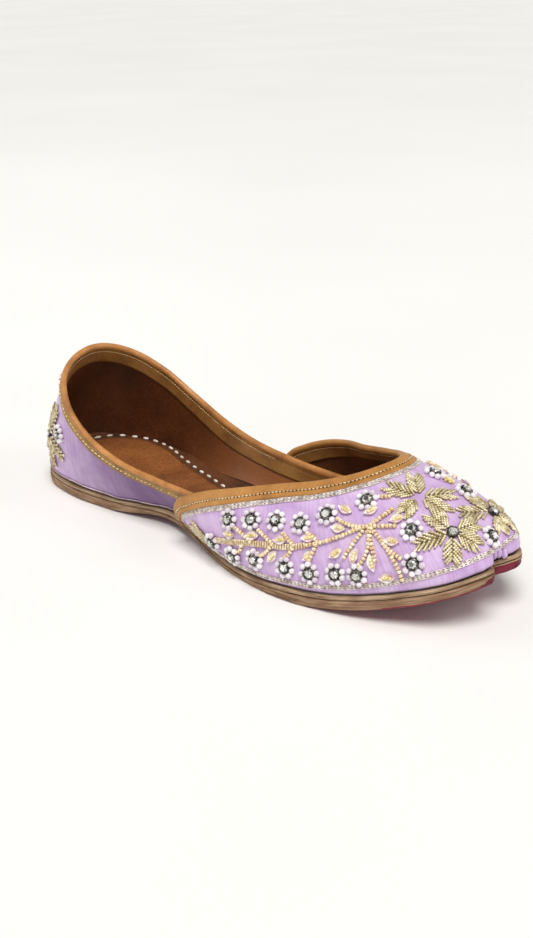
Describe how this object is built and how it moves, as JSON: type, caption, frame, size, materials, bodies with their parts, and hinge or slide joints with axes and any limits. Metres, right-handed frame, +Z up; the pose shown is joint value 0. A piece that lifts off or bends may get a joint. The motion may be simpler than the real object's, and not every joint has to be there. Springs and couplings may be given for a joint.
{
  "type": "mojari shoe",
  "caption": "Flat embroidered slip-on shoe with a heart-shaped toe, a high back, a deep curved throat, bound edges and a thin stacked leather sole.",
  "frame": {"origin": "on the floor under the middle of the shoe's length", "axes": "+X toward the toe, +Y toward the shoe's left side, +Z up"},
  "size_m": [0.2506, 0.0852, 0.0656],
  "materials": {
    "silk": "slubbed raw silk, soft sheen",
    "binding_leather": "smooth tan leather",
    "sole_leather": "stacked leather with a raw edge",
    "lining_leather": "grained brown leather",
    "thread": "waxed cotton thread",
    "metal_thread": "pale gold coiled wire and metal thread",
    "pearl_bead": "pearl lustre",
    "seed_bead": "pearly cream-gold beads",
    "sequin": "iridescent film",
    "stone": "faceted clear glass",
    "stone_setting": "blackened claw setting"
  },
  "bodies": {
    "root": {"outsole": "sole_leather", "midsole": "sole_leather", "insole": "lining_leather", "vamp": "silk", "quarter": "silk", "vamp_binding": "binding_leather", "quarter_binding": "binding_leather"}
  },
  "joints": []
}
